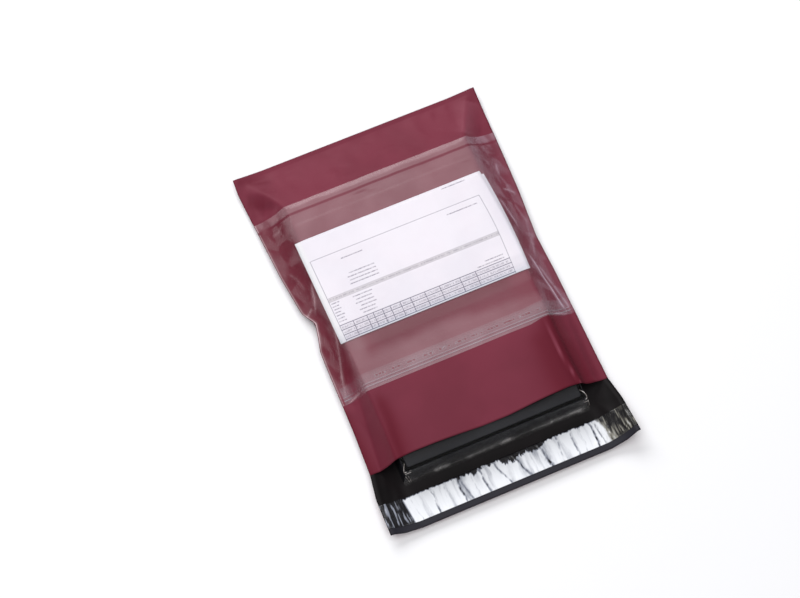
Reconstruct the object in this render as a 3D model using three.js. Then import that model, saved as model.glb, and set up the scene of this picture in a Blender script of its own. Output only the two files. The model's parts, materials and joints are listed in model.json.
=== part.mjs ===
// Poly mailer bag with a document pouch, loaded and lying open on its back panel.
//
// One web of film is folded across the closed end and welded down both sides, so the front panel, the
// back panel and the flap are one piece. A boxed item inside lifts the front panel and draws the side
// seams in. A clear pouch covers the front panel, with a folded sheet in it, and release liners still
// cover the adhesive strips of the pouch and of the flap.
//
// Frame: X across the bag, +Y towards the closed end, +Z up, origin under the middle. Millimetres.
// "across" is X, and "along" is the distance from the flap's cut edge towards the closed end.

import * as THREE from 'three';

// ---- Driving dimensions ------------------------------------------------------------------------------

const BAG_WIDTH = 275; // across the flat bag, seam to seam
const BAG_LENGTH = 421; // from the flap's cut edge to the fold at the closed end
const FLAP_LENGTH = 66; // from the flap's cut edge to the mouth
const FILM = 0.1; // thickness of the bag's film, and of the strips on it
const LAND = 4; // width of the side welds, and of the flattened fold at the closed end

const BOX_WIDTH = 206; // across the foot of the boxed item
const BOX_TOP_WIDTH = 200; // across the tray's rim
const BOX_HEIGHT = 26; // top of its lid above the floor
const BOX_FRONT = 47.5; // along: where its foot starts
const BOX_BACK = 361; // along: where its foot ends
const BOX_FRONT_SLOPE = 3; // how far the tray's front rim is set back from its foot
const BOX_FOOT_HEIGHT = 4;
const TRAY_RIM = 25.3; // top of the tray's wall, which the lid is set into
const TRAY_WALL = 0.8;
const SLOT_FLOOR = 23.8; // bottom of the slot between the tray's wall and the lid
const SLOT_WIDTH = 3.2;
const BOX_CORNER = 2.5; // radius of its upright corners
const BOX_EDGE = 1; // bevel round the bottom
const LID_EDGE = 0.4; // bevel round the top

const POUCH_OPEN = 144; // along: the pouch film's free edge
const POUCH_SEAL = 355; // along: where its top seal starts
const POUCH_END = 365; // along: where its top seal ends
const POUCH_STRIP_END = 163; // along: where the pouch's release tape ends

const SHEET_WIDTH = 210; // the document, folded once
const SHEET_LENGTH = 120;
const SHEET_FOLD = 202; // along: where its folded edge lies
const SHEET_SHIFT = -2; // it lies a little off the centre line
const SHEET_OFFSET = 4; // how far the lower leaf stays short of the upper one
const PAPER = 0.1;
const LEAF_GAP = 0.4; // between its two leaves

const FLAP_STRIP_START = 7; // along: where the flap's release liner starts
const FLAP_STRIP_END = 33;
const ADHESIVE_MARGIN = 2.5; // the adhesive is this much narrower than its liner on each side

const LIFT = 0.3; // clearance between pieces that lie on each other
const LAYER_GAP = 0.15; // clearance between films that run parallel

// The side seams, as [along, value]. The box draws them in and lifts them, and the flap's corners curl up.
const SEAM_HALF_WIDTH = [[0, 137.5], [40, 136.5], [FLAP_LENGTH, 133], [100, 131], [250, 131], [300, 134],
  [POUCH_END, 137], [BAG_LENGTH, BAG_WIDTH / 2]];
const SEAM_HEIGHT_LEFT = [[0, 13], [40, 9.5], [FLAP_LENGTH, 8], [300, 9], [POUCH_END, 6], [BAG_LENGTH, 2]];
const SEAM_HEIGHT_RIGHT = [[0, 20], [40, 12], [FLAP_LENGTH, 8], [300, 9], [POUCH_END, 6], [BAG_LENGTH, 2]];

// ---- Worked out from them ----------------------------------------------------------------------------

const CURL_START = BOX_WIDTH / 2 + 1; // across: outside this the back panel leaves the floor
const CURL_POWER = 1.5;
const BOX_SHOULDER = BOX_TOP_WIDTH / 2 + 1.5; // across: outside this the front panel falls to the seam
const SHEET_SHOULDER = SHEET_WIDTH / 2 - SHEET_SHIFT + 2; // across: the pouch film stays up to here
const CROWN_END = BOX_BACK + 1; // along: past this the front panel falls to the closed end

const CROWN = BOX_HEIGHT + LIFT + FILM; // the front panel's outer face over the box
const SHEET_END = SHEET_FOLD + SHEET_LENGTH;
const SHEET_FLOOR = CROWN + LIFT; // the document's lowest face
const SHEET_TOP = SHEET_FLOOR + 2 * PAPER + LEAF_GAP;
const POUCH_RISE = SHEET_FOLD - 10; // along: the pouch film is up over the document from here
const POUCH_FALL = SHEET_END + 8; // along: and starts down from here
const STRIP_STACK = 2 * (FILM + LAYER_GAP); // a liner and its adhesive

// ---- Materials ---------------------------------------------------------------------------------------

const material = (color, roughness, extra = {}) =>
  new THREE.MeshStandardMaterial({ color, roughness, metalness: 0, ...extra });

const maroonFilm = material(0x8a3f50, 0.4);
const clearFilm = material(0xd9c8cf, 0.2, { transparent: true, opacity: 0.4 });
const pouchTape = material(0xe6dfe3, 0.3);
const adhesiveLayer = material(0x6d696c, 0.5);
const flapTape = material(0xe8e8ee, 0.15);
const paper = material(0xf2f2f6, 0.8);
const blackCarton = material(0x2b2a2e, 0.35);

// ---- The form of the films ---------------------------------------------------------------------------

// Reads a value from a list of [position, value] pairs, in straight steps between them.
function readAlong(table, position) {
  const next = table.findIndex(([at]) => at >= position);
  if (next <= 0) return table[Math.max(next, 0)][1];
  const [fromAt, fromValue] = table[next - 1];
  const [toAt, toValue] = table[next];
  return THREE.MathUtils.mapLinear(position, fromAt, toAt, fromValue, toValue);
}

const seamHeight = (across, along) => readAlong(across < 0 ? SEAM_HEIGHT_LEFT : SEAM_HEIGHT_RIGHT, along);
const seamHalfWidth = (along) => readAlong(SEAM_HALF_WIDTH, along);
const landHalfWidth = (along) => seamHalfWidth(along) - LAND;

// How far out a point is between a shoulder and the weld: 0 inside the shoulder, 1 on the weld.
function outward(across, along, shoulder) {
  return THREE.MathUtils.clamp((Math.abs(across) - shoulder) / (landHalfWidth(along) - shoulder), 0, 1);
}

// Underside of the back panel and the flap: flat on the floor, and curling up to the side seams.
function backOuter(across, along) {
  return seamHeight(across, along) * outward(across, along, CURL_START) ** CURL_POWER;
}

const backInner = (across, along) => backOuter(across, along) + FILM;

// Outer face of the front panel: level over the box, falling to the seams and to the closed end.
function frontOuter(across, along) {
  const seam = seamHeight(across, along) + 2 * FILM;
  const side = THREE.MathUtils.lerp(CROWN, seam, outward(across, along, BOX_SHOULDER));
  const foot = backOuter(across, along) + 2 * FILM;
  const fall = THREE.MathUtils.clamp((along - CROWN_END) / (BAG_LENGTH - LAND - CROWN_END), 0, 1);
  return Math.max(foot, Math.min(side, THREE.MathUtils.lerp(CROWN, foot, fall)));
}

const frontInner = (across, along) => frontOuter(across, along) - FILM;

// Height of the pouch film's inner face over the box, as [along, height]: it rises over the document.
const POUCH_CROWN = [[POUCH_STRIP_END, CROWN + LAYER_GAP + STRIP_STACK], [POUCH_RISE, SHEET_TOP + LIFT],
  [POUCH_FALL, SHEET_TOP + LIFT], [POUCH_SEAL, CROWN + LAYER_GAP]];

// Inner face of the pouch film: on the front panel at its top seal and at the side welds, standing off it
// over the document and over its closing strip.
function pouchInner(across, along) {
  const panel = frontOuter(across, along) + LAYER_GAP;
  if (along >= POUCH_SEAL) return panel;
  const stack = along <= POUCH_STRIP_END ? STRIP_STACK : 0;
  const seam = seamHeight(across, along) + 2 * FILM + LAYER_GAP;
  const crown = readAlong(POUCH_CROWN, along);
  const bridge = THREE.MathUtils.lerp(crown, seam, outward(across, along, SHEET_SHOULDER));
  return Math.max(panel, bridge) + stack;
}

// ---- The grid that the films share -------------------------------------------------------------------

// Columns run along the bag: over the box, then in equal steps down to the weld, then the outer edge.
const INNER_COLUMNS = [0, 34, 68, 92, BOX_SHOULDER, SHEET_SHOULDER];
const SLOPE_STEPS = 3;

function columnsAt(along) {
  const right = [...INNER_COLUMNS];
  for (let step = 1; step <= SLOPE_STEPS; step++) {
    right.push(THREE.MathUtils.lerp(SHEET_SHOULDER, landHalfWidth(along), step / SLOPE_STEPS));
  }
  right.push(seamHalfWidth(along));
  const left = right.slice(1).reverse().map((across) => -across);
  return [...left, ...right];
}

// Rows run across it, at every edge of a strip or pouch, at the mouth and the folds, and between them.
const ROWS = [
  0, FLAP_STRIP_START, FLAP_STRIP_START + ADHESIVE_MARGIN, FLAP_STRIP_END - ADHESIVE_MARGIN, FLAP_STRIP_END,
  48, FLAP_LENGTH, 100, POUCH_OPEN, POUCH_OPEN + ADHESIVE_MARGIN, POUCH_STRIP_END - ADHESIVE_MARGIN,
  POUCH_STRIP_END, POUCH_RISE, 250, 300, POUCH_FALL, POUCH_SEAL, CROWN_END, POUCH_END, 385, 402,
  BAG_LENGTH - LAND, BAG_LENGTH,
];

const LAST_COLUMN = 2 * (INNER_COLUMNS.length + SLOPE_STEPS);
const CENTRE_COLUMN = LAST_COLUMN / 2;
const LAST_ROW = ROWS.length - 1;
const MOUTH_ROW = ROWS.indexOf(FLAP_LENGTH);
const rowsBetween = (from, to) => [ROWS.indexOf(from), ROWS.indexOf(to)];

// Collects the points and faces of one closed body.
class Body {
  constructor() {
    this.ids = new Map();
    this.positions = [];
    this.faces = [];
  }

  // The point with this name, made on first use, so that the faces that meet there share it.
  point(name, x, y, z) {
    if (!this.ids.has(name)) {
      this.ids.set(name, this.positions.length / 3);
      this.positions.push(x, y, z);
    }
    return this.ids.get(name);
  }

  // A function that gives the points of one film surface by column and row.
  sheet(name, heightAt) {
    return (column, row) => {
      const along = ROWS[row];
      const across = columnsAt(along)[column];
      return this.point(`${name} ${column} ${row}`, across, along - BAG_LENGTH / 2, heightAt(across, along));
    };
  }

  triangle(a, b, c) {
    this.faces.push(a, b, c);
  }

  quad(a, b, c, d) {
    this.triangle(a, b, c);
    this.triangle(a, c, d);
  }

  // The cells of a surface between two columns and two rows. Each is cut along the diagonal that runs out
  // from the centre line, as the ridges from the box's back corners do.
  cells(sheet, [firstColumn, lastColumn], [firstRow, lastRow], facesUp) {
    for (let row = firstRow; row < lastRow; row++) {
      for (let column = firstColumn; column < lastColumn; column++) {
        const near = sheet(column, row);
        const nearRight = sheet(column + 1, row);
        const farRight = sheet(column + 1, row + 1);
        const far = sheet(column, row + 1);
        const [a, b, c, d] = column >= CENTRE_COLUMN ? [near, nearRight, farRight, far]
          : [nearRight, farRight, far, near];
        if (facesUp) this.quad(a, b, c, d);
        else this.quad(a, d, c, b);
      }
    }
  }

  // The edge faces between a lower and an upper surface, along grid points that go round counterclockwise.
  wall(lower, upper, path) {
    for (let step = 0; step + 1 < path.length; step++) {
      const from = path[step];
      const to = path[step + 1];
      this.quad(lower(...from), lower(...to), upper(...to), upper(...from));
    }
  }

  // The faces between two rings of points, the lower one first, both counterclockwise from above.
  band(lower, upper) {
    lower.forEach((point, index) => {
      const next = (index + 1) % lower.length;
      this.quad(point, lower[next], upper[next], upper[index]);
    });
  }

  // A flat convex face over a ring.
  cap(ring, facesUp) {
    for (let step = 1; step + 1 < ring.length; step++) {
      if (facesUp) this.triangle(ring[0], ring[step], ring[step + 1]);
      else this.triangle(ring[0], ring[step + 1], ring[step]);
    }
  }

  mesh(name, meshMaterial) {
    const geometry = new THREE.BufferGeometry();
    geometry.setAttribute('position', new THREE.Float32BufferAttribute(this.positions, 3));
    geometry.setIndex(this.faces);
    geometry.computeVertexNormals();
    return namedMesh(name, geometry, meshMaterial);
  }
}

function namedMesh(name, geometry, meshMaterial) {
  const mesh = new THREE.Mesh(geometry, meshMaterial);
  mesh.name = name;
  return mesh;
}

// Grid points from one corner to another along a row or a column, both ends included.
function gridLine([fromColumn, fromRow], [toColumn, toRow]) {
  const steps = Math.max(Math.abs(toColumn - fromColumn), Math.abs(toRow - fromRow));
  return Array.from({ length: steps + 1 }, (_, step) => [
    fromColumn + (step * (toColumn - fromColumn)) / steps,
    fromRow + (step * (toRow - fromRow)) / steps,
  ]);
}

// ---- Pieces ------------------------------------------------------------------------------------------

// The bag: back panel, flap and front panel in one web. The inner faces of the two panels meet at the side
// welds and at the fold, and the mouth between them is open.
function makeBagFilm() {
  const body = new Body();
  const under = body.sheet('under', backOuter);
  const floor = body.sheet('floor', backInner);
  const top = body.sheet('top', frontOuter);
  const freeCeiling = body.sheet('ceiling', frontInner);
  const inside = [1, LAST_COLUMN - 1];
  const isWelded = (column, row) => column <= inside[0] || column >= inside[1] || row >= LAST_ROW - 1;
  const ceiling = (column, row) => (isWelded(column, row) ? floor : freeCeiling)(column, row);

  body.cells(under, [0, LAST_COLUMN], [0, LAST_ROW], false);
  body.cells(floor, [0, LAST_COLUMN], [0, MOUTH_ROW], true);
  body.cells(floor, inside, [MOUTH_ROW, LAST_ROW - 1], true);
  body.cells(ceiling, inside, [MOUTH_ROW, LAST_ROW - 1], false);
  body.cells(top, [0, LAST_COLUMN], [MOUTH_ROW, LAST_ROW], true);

  const frontLeft = [0, 0];
  const frontRight = [LAST_COLUMN, 0];
  const backLeft = [0, LAST_ROW];
  const backRight = [LAST_COLUMN, LAST_ROW];
  const mouthLeft = [0, MOUTH_ROW];
  const mouthRight = [LAST_COLUMN, MOUTH_ROW];
  body.wall(under, floor, gridLine(frontLeft, frontRight));
  body.wall(under, floor, gridLine(frontRight, backRight));
  body.wall(under, floor, gridLine(backRight, backLeft));
  body.wall(under, floor, gridLine(backLeft, frontLeft));
  body.wall(floor, top, gridLine(mouthRight, backRight));
  body.wall(floor, top, gridLine(backRight, backLeft));
  body.wall(floor, top, gridLine(backLeft, mouthLeft));
  body.wall(ceiling, top, gridLine(mouthLeft, mouthRight));
  return body.mesh('bag_film', maroonFilm);
}

// A strip or sheet of film that lies on the grid, from its lower face up.
function makeLayer(name, lowerFace, columns, rows, meshMaterial) {
  const body = new Body();
  const lower = body.sheet('lower', lowerFace);
  const upper = body.sheet('upper', (across, along) => lowerFace(across, along) + FILM);
  const [left, right] = columns;
  const [near, far] = rows;
  body.cells(lower, columns, rows, false);
  body.cells(upper, columns, rows, true);
  const corners = [[left, near], [right, near], [right, far], [left, far]];
  corners.forEach((corner, index) => {
    body.wall(lower, upper, gridLine(corner, corners[(index + 1) % corners.length]));
  });
  return body.mesh(name, meshMaterial);
}

const lying = (surface, height) => (across, along) => surface(across, along) + height;
const FULL_WIDTH = [0, LAST_COLUMN];
const BETWEEN_WELDS = [1, LAST_COLUMN - 1];

function makePouch() {
  const tape = rowsBetween(POUCH_OPEN, POUCH_STRIP_END);
  const glue = rowsBetween(POUCH_OPEN + ADHESIVE_MARGIN, POUCH_STRIP_END - ADHESIVE_MARGIN);
  const onTape = lying(frontOuter, 2 * LAYER_GAP + FILM);
  return [
    makeLayer('pouch_film', pouchInner, FULL_WIDTH, rowsBetween(POUCH_OPEN, POUCH_END), clearFilm),
    makeLayer('pouch_liner', lying(frontOuter, LAYER_GAP), BETWEEN_WELDS, tape, pouchTape),
    makeLayer('pouch_adhesive', onTape, BETWEEN_WELDS, glue, adhesiveLayer),
  ];
}

function makeFlapStrip() {
  const tape = rowsBetween(FLAP_STRIP_START, FLAP_STRIP_END);
  const glue = rowsBetween(FLAP_STRIP_START + ADHESIVE_MARGIN, FLAP_STRIP_END - ADHESIVE_MARGIN);
  const onGlue = lying(backInner, 2 * LAYER_GAP + FILM);
  return [
    makeLayer('flap_adhesive', lying(backInner, LAYER_GAP), BETWEEN_WELDS, glue, adhesiveLayer),
    makeLayer('flap_liner', onGlue, FULL_WIDTH, tape, flapTape),
  ];
}

// The sheet is folded once: two leaves joined by a round fold, and the lower leaf a little short.
function makeDocument() {
  const foldRadius = (SHEET_TOP - SHEET_FLOOR) / 2;
  const foldCentre = [SHEET_FOLD + foldRadius, SHEET_FLOOR + foldRadius];
  const section = new THREE.Shape();
  section.moveTo(SHEET_END - SHEET_OFFSET, SHEET_FLOOR);
  section.absarc(...foldCentre, foldRadius, -Math.PI / 2, -1.5 * Math.PI, true);
  section.lineTo(SHEET_END, SHEET_TOP);
  section.lineTo(SHEET_END, SHEET_TOP - PAPER);
  section.absarc(...foldCentre, foldRadius - PAPER, Math.PI / 2, 1.5 * Math.PI, false);
  section.lineTo(SHEET_END - SHEET_OFFSET, SHEET_FLOOR + PAPER);
  section.closePath();
  const geometry = new THREE.ExtrudeGeometry(section, {
    depth: SHEET_WIDTH, bevelEnabled: false, curveSegments: 6,
  });
  const toBag = new THREE.Matrix4().makeBasis(
    new THREE.Vector3(0, 1, 0), new THREE.Vector3(0, 0, 1), new THREE.Vector3(1, 0, 0));
  geometry.applyMatrix4(toBag);
  geometry.translate(SHEET_SHIFT - SHEET_WIDTH / 2, -BAG_LENGTH / 2, 0);
  return namedMesh('document', geometry, paper);
}

// The boxed item: a tray with sloping sides and a lid set into it, with a slot between them.
const LID_INSET = TRAY_WALL + SLOT_WIDTH;
const BOX_LEVELS = [ // [height, how far up the slope from 0 to 1, how far in from the outline]
  [FILM + LIFT, 0, BOX_EDGE],
  [FILM + LIFT + BOX_EDGE, 0, 0],
  [BOX_FOOT_HEIGHT, 0, 0],
  [TRAY_RIM, 1, 0],
  [TRAY_RIM, 1, TRAY_WALL],
  [SLOT_FLOOR, 1, TRAY_WALL],
  [SLOT_FLOOR, 1, LID_INSET],
  [BOX_HEIGHT - LID_EDGE, 1, LID_INSET],
  [BOX_HEIGHT, 1, LID_INSET + LID_EDGE],
];
const BOX_CORNER_STEPS = 3;

function makeBoxedItem() {
  const body = new Body();
  const rings = BOX_LEVELS.map(([height, slope, inset], level) => {
    const sideSlope = (BOX_WIDTH - BOX_TOP_WIDTH) / 2;
    const halfWidth = BOX_WIDTH / 2 - slope * sideSlope - inset - BOX_CORNER;
    const front = BOX_FRONT + slope * BOX_FRONT_SLOPE + inset + BOX_CORNER - BAG_LENGTH / 2;
    const back = BOX_BACK - slope * sideSlope - inset - BOX_CORNER - BAG_LENGTH / 2;
    const centres = [[halfWidth, back], [-halfWidth, back], [-halfWidth, front], [halfWidth, front]];
    return centres.flatMap(([x, y], corner) =>
      Array.from({ length: BOX_CORNER_STEPS + 1 }, (_, step) => {
        const angle = (corner + step / BOX_CORNER_STEPS) * (Math.PI / 2);
        const name = `${level} ${corner} ${step}`;
        return body.point(name, x + BOX_CORNER * Math.cos(angle), y + BOX_CORNER * Math.sin(angle), height);
      }));
  });
  body.cap(rings[0], false);
  for (let level = 0; level + 1 < rings.length; level++) body.band(rings[level], rings[level + 1]);
  body.cap(rings[rings.length - 1], true);
  return body.mesh('boxed_item', blackCarton);
}

const mailer = new THREE.Group();
mailer.name = 'poly_mailer_bag';
mailer.add(makeBagFilm(), ...makePouch(), ...makeFlapStrip(), makeDocument(), makeBoxedItem());

export default mailer;
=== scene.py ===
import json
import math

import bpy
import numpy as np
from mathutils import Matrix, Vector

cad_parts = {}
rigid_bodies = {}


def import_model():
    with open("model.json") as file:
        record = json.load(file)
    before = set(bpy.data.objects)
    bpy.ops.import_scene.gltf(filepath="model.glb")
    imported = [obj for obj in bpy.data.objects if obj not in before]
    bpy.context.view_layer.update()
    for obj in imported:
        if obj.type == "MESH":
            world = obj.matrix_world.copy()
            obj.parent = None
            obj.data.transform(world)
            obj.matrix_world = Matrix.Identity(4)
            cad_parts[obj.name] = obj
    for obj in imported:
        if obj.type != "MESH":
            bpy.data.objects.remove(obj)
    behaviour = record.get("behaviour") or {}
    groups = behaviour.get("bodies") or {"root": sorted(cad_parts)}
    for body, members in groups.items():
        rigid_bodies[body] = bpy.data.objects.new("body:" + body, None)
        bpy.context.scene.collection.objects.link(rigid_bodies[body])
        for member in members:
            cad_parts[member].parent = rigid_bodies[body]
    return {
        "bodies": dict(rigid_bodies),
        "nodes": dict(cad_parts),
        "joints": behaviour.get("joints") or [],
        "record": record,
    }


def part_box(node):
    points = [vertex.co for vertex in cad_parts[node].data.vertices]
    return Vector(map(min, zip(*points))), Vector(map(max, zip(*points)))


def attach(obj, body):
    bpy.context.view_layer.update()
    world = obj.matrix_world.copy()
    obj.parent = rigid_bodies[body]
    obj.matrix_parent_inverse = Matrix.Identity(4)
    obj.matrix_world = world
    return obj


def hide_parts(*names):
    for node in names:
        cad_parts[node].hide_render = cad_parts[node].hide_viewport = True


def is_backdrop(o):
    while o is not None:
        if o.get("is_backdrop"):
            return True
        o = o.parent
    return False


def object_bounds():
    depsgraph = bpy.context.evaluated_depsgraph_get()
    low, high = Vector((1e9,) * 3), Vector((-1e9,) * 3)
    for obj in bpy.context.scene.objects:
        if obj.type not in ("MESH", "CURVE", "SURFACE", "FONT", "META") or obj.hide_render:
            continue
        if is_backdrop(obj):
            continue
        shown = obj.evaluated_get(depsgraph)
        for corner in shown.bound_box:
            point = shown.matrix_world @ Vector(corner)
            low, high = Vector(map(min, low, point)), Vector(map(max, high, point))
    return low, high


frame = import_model()

# Poly mailer bag with a document pouch, loaded and lying open on its back panel.
#
# The films are built as grids of points over the bag. A point is given by "across", millimetres from the
# centre line, and "along", millimetres from the flap's cut edge towards the closed end. Heights are
# millimetres above the floor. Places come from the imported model's boxes.

MM = 0.001
CAD_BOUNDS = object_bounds()


def node_box(node):
    """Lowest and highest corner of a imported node, as (across, along, height) in millimetres."""
    low, high = (np.array(corner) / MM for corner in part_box(node))
    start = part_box("bag_film")[0][1] / MM
    low[1] -= start
    high[1] -= start
    return low, high


# ---- Driving dimensions, millimetres ----

BAG_LOW, BAG_HIGH = node_box("bag_film")
BOX_LOW, BOX_HIGH = node_box("boxed_item")
SHEET_LOW, SHEET_HIGH = node_box("document")
POUCH_LOW, POUCH_HIGH = node_box("pouch_film")
BAND_LOW, BAND_HIGH = node_box("pouch_liner")
GLUE_BAND_LOW, GLUE_BAND_HIGH = node_box("pouch_adhesive")
STRIP_LOW, STRIP_HIGH = node_box("flap_liner")
GLUE_LOW, GLUE_HIGH = node_box("flap_adhesive")

LENGTH = BAG_HIGH[1]
MOUTH = 66.0  # along: the front panel's cut edge
FILM = 0.1  # thickness of every film
LAND = 4.0  # width of the side welds
WELD_GAP = 0.06  # between the two panels on the welds
FAR_OUT = 200.0  # across: a place well outside both seams
SEAL = 10.0  # height of the pouch's top seal
BAND_RISE = 0.12  # height of each layer of the pouch's closing band over what is under it

SIDE_SLOPE = 3.0  # how far each side of the carton leans in, foot to top
FRONT_SLOPE = 3.0  # how far the carton's front leans back, foot to top
SHOULDER = BOX_HIGH[0] - SIDE_SLOPE + 1.0  # across: the front panel is level inside this
SHOULDER_ROUND = 0.05  # how rounded the panel's bend over the shoulder is, as a share of the slope
PANEL_SAG = 1.9  # more than 1 hangs the panel's slopes in a hollow curve
POUCH_SAG = 1.1  # the same for the pouch film
CURL_START = BOX_HIGH[0] + 1.0  # across: the back panel is on the floor inside this
CROWN = BOX_HIGH[2] + 0.4  # height of the front panel's outer face over the box
CROWN_END = BOX_HIGH[1] - 1.0  # along: the front panel is level up to here
SHEET_MARGIN = 2.0  # the pouch film leaves the sheet this far outside its edge
SHEET_HALF = 109.0  # across: the panel is pressed down under the sheet inside this
SHEET_CLEARANCE = 0.2  # between the panel and the underside of the sheet
HEM = 7.0  # width of the flap's folded hem
RIM = 25.3  # top of the carton's tray, which the lid sits into
GROOVE = (0.8, 4.0)  # the slot between the tray's wall and the lid, in from the wall's outside
GROOVE_FLOOR = 23.8

# The folded sheet lies slightly askew. Its edges run from the fold at these rates, per millimetre.
SHEET_WIDTH = 210.0
PAPER = 0.1  # thickness of the sheet
SHEET_BEND = 0.28  # radius of its fold
SHEET_BULGE = 2.4  # how far its right edge bows out in the middle
LEAF_LENGTH = SHEET_HIGH[1] - SHEET_LOW[1]
SHEET_CORNERS = {
    "fold left": np.array([-106.9, SHEET_LOW[1] - 0.4]),
    "fold right": np.array([105.4, SHEET_LOW[1] - 0.4]),
    "left edge": np.array([-0.0175, 1.0]),
    "right edge": np.array([-0.0365, 1.0]),
    "lower right edge": np.array([-0.0146, 1.0]),
}

# The side seams as (along, value): the box draws them in and lifts them, the flap's corners curl up.
SEAM_OUT = {
    -1: [(0, 137.5), (40, 136.5), (MOUTH, 132), (113, 129.8), (146, 129.3), (183, 128.8), (207, 128.2),
         (222, 124.4), (236, 121.6), (239, 122.0), (248, 127.2), (253, 129.8), (299, 135.0), (360, 138.3),
         (404, 140.8), (LENGTH, 140.0)],
    1: [(0, 137.5), (40, 136.5), (MOUTH, 132.5), (105, 132), (145, 131.8), (195, 131.2), (238, 129.8),
        (293, 134), (365, 137.2), (LENGTH, 138.5)],
}
SEAM_UP = {
    -1: [(0, 13), (40, 9.5), (MOUTH, 8), (200, 8.5), (237, 11), (260, 9), (300, 9), (365, 6), (LENGTH, 3)],
    1: [(0, 20), (40, 12), (MOUTH, 8), (200, 9), (300, 9), (365, 6), (LENGTH, 3)],
}
END_LIFT = 6.0  # how far the closed end curls up off the floor
END_LIFT_START = 372  # along: the closed end starts to rise here
FLAP_SPRING = 6.5  # how far the flap's cut edge springs up off the floor
FLAP_BOW = 3.9  # how far that edge bows out in its middle
GLUE, GLUE_RISE = 0.08, 0.11  # the flap's adhesive: thickness, and height over the flap's film
STRIP, STRIP_RISE = 0.05, 0.32  # the same of the liner over it


# ---- Small maths ----

def smooth_read(pairs, at, spread=1.6, taps=5):
    """Reads a list of (position, value) pairs, with its corners rounded over the spread."""
    positions, values = zip(*pairs)
    offsets = np.linspace(-spread, spread, taps)
    return sum(np.interp(at + offset, positions, values) for offset in offsets) / taps


def by_side(tables, across, along):
    """Reads the left or the right table, by the sign of across."""
    return np.where(across < 0, smooth_read(tables[-1], along), smooth_read(tables[1], along))


def smoothstep(low, high, value):
    t = np.clip((value - low) / (high - low), 0, 1)
    return t * t * (3 - 2 * t)


def window(value, rise, fall):
    """0, then 1 from one range of values to another, then 0 again."""
    return smoothstep(*rise, value) * smoothstep(*fall, value)


def soft_min(a, b, blend):
    """The smaller of two values, rounded where they cross."""
    h = np.clip(0.5 + 0.5 * (b - a) / blend, 0, 1)
    return b + (a - b) * h - blend * h * (1 - h)


def value_noise(x, y, seed):
    """Smooth noise from -1 to 1 on a lattice of unit cells."""
    lattice = np.random.default_rng(seed).uniform(-1, 1, (64, 64))
    cell_x, cell_y = np.floor(x).astype(int), np.floor(y).astype(int)
    fx, fy = smoothstep(0, 1, x - cell_x), smoothstep(0, 1, y - cell_y)
    corner = lambda dx, dy: lattice[(cell_x + dx) % 64, (cell_y + dy) % 64]
    near = corner(0, 0) * (1 - fx) + corner(1, 0) * fx
    far = corner(0, 1) * (1 - fx) + corner(1, 1) * fx
    return near * (1 - fy) + far * fy


def crumple(across, along, size, seed, sharp=12):
    """Facets like those of creased film, from about -1 to 1: each cell is a tilted plane, and cells meet in
    folds that are as sharp as asked."""
    random = np.random.default_rng(seed)
    count = 48
    jitter = random.uniform(0.1, 0.9, (count, count, 2))
    tilt = random.normal(0, 1, (count, count, 2))
    x, y = across / size + 24, along / size
    cell_x, cell_y = np.floor(x).astype(int), np.floor(y).astype(int)
    total = np.zeros_like(x)
    weight = np.zeros_like(x)
    for dx in (-1, 0, 1):
        for dy in (-1, 0, 1):
            cx, cy = cell_x + dx, cell_y + dy
            seed_at = jitter[cx % count, cy % count]
            lean = tilt[cx % count, cy % count]
            px, py = x - cx - seed_at[..., 0], y - cy - seed_at[..., 1]
            share = np.exp(-sharp * np.hypot(px, py))
            total += share * (lean[..., 0] * px + lean[..., 1] * py)
            weight += share
    return total / weight


def fold(across, along, path, height, width, crest, ends=(0.25, 0.25)):
    """A fold along a path of (across, along) points: raised where height is positive, a groove where it is
    negative. It falls off over width, its crest is rounded over crest, and it fades over the shares of its
    length that ends gives."""
    nearest = np.full(across.shape, np.inf)
    place = np.zeros(across.shape)
    points = np.array(path, float)
    lengths = np.linalg.norm(np.diff(points, axis=0), axis=1)
    travelled = np.concatenate([[0], np.cumsum(lengths)]) / lengths.sum()
    for start, end, length, begin, finish in zip(points, points[1:], lengths, travelled, travelled[1:]):
        way = (end - start) / length
        t = np.clip(((across - start[0]) * way[0] + (along - start[1]) * way[1]) / length, 0, 1)
        distance = np.hypot(across - start[0] - t * length * way[0],
                            along - start[1] - t * length * way[1])
        closer = distance < nearest
        nearest = np.where(closer, distance, nearest)
        place = np.where(closer, begin + t * (finish - begin), place)
    profile = np.exp(-(np.sqrt(nearest ** 2 + crest ** 2) - crest) / width)
    fade = smoothstep(0, max(ends[0], 1e-6), place) * smoothstep(0, max(ends[1], 1e-6), 1 - place)
    return height * profile * fade


def folds(across, along, rows):
    """The sum of several folds, each given as its path, height, width and crest, and its ends if they
    differ from the usual ones."""
    return sum(fold(across, along, *row) for row in rows)


# ---- The form of the films ----

def seam_out(across, along):
    return by_side(SEAM_OUT, across, along)


def outward(across, along, shoulder):
    """0 inside the shoulder, 1 on the side weld."""
    return np.clip((np.abs(across) - shoulder) / (seam_out(across, along) - LAND - shoulder), 0, 1)


def seam_up(across, along):
    """Height of the side seam, with the small waves that a weld takes."""
    waves = 0.5 * value_noise(along / 9, np.sign(across) * 3.3 + 10, 5)
    return by_side(SEAM_UP, across, along) + waves * smoothstep(0, 30, LENGTH - along)


# The tables of folds give a path, a height, a width, the crest's rounding and how the ends fade.

# Broad folds of the flap's black film, beside the box and towards its corners.
FLAP_FOLDS = [
    ([(124, 60), (118, 34), (112, 6)], 0.9, 6, 2.0),
    ([(108, 52), (127, 20)], 0.7, 4, 1.0),
    ([(-110, 50), (-122, 12)], 0.9, 5, 1.5),
    ([(-118, 70), (-126, 30)], 0.6, 4, 1.0),
]


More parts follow.
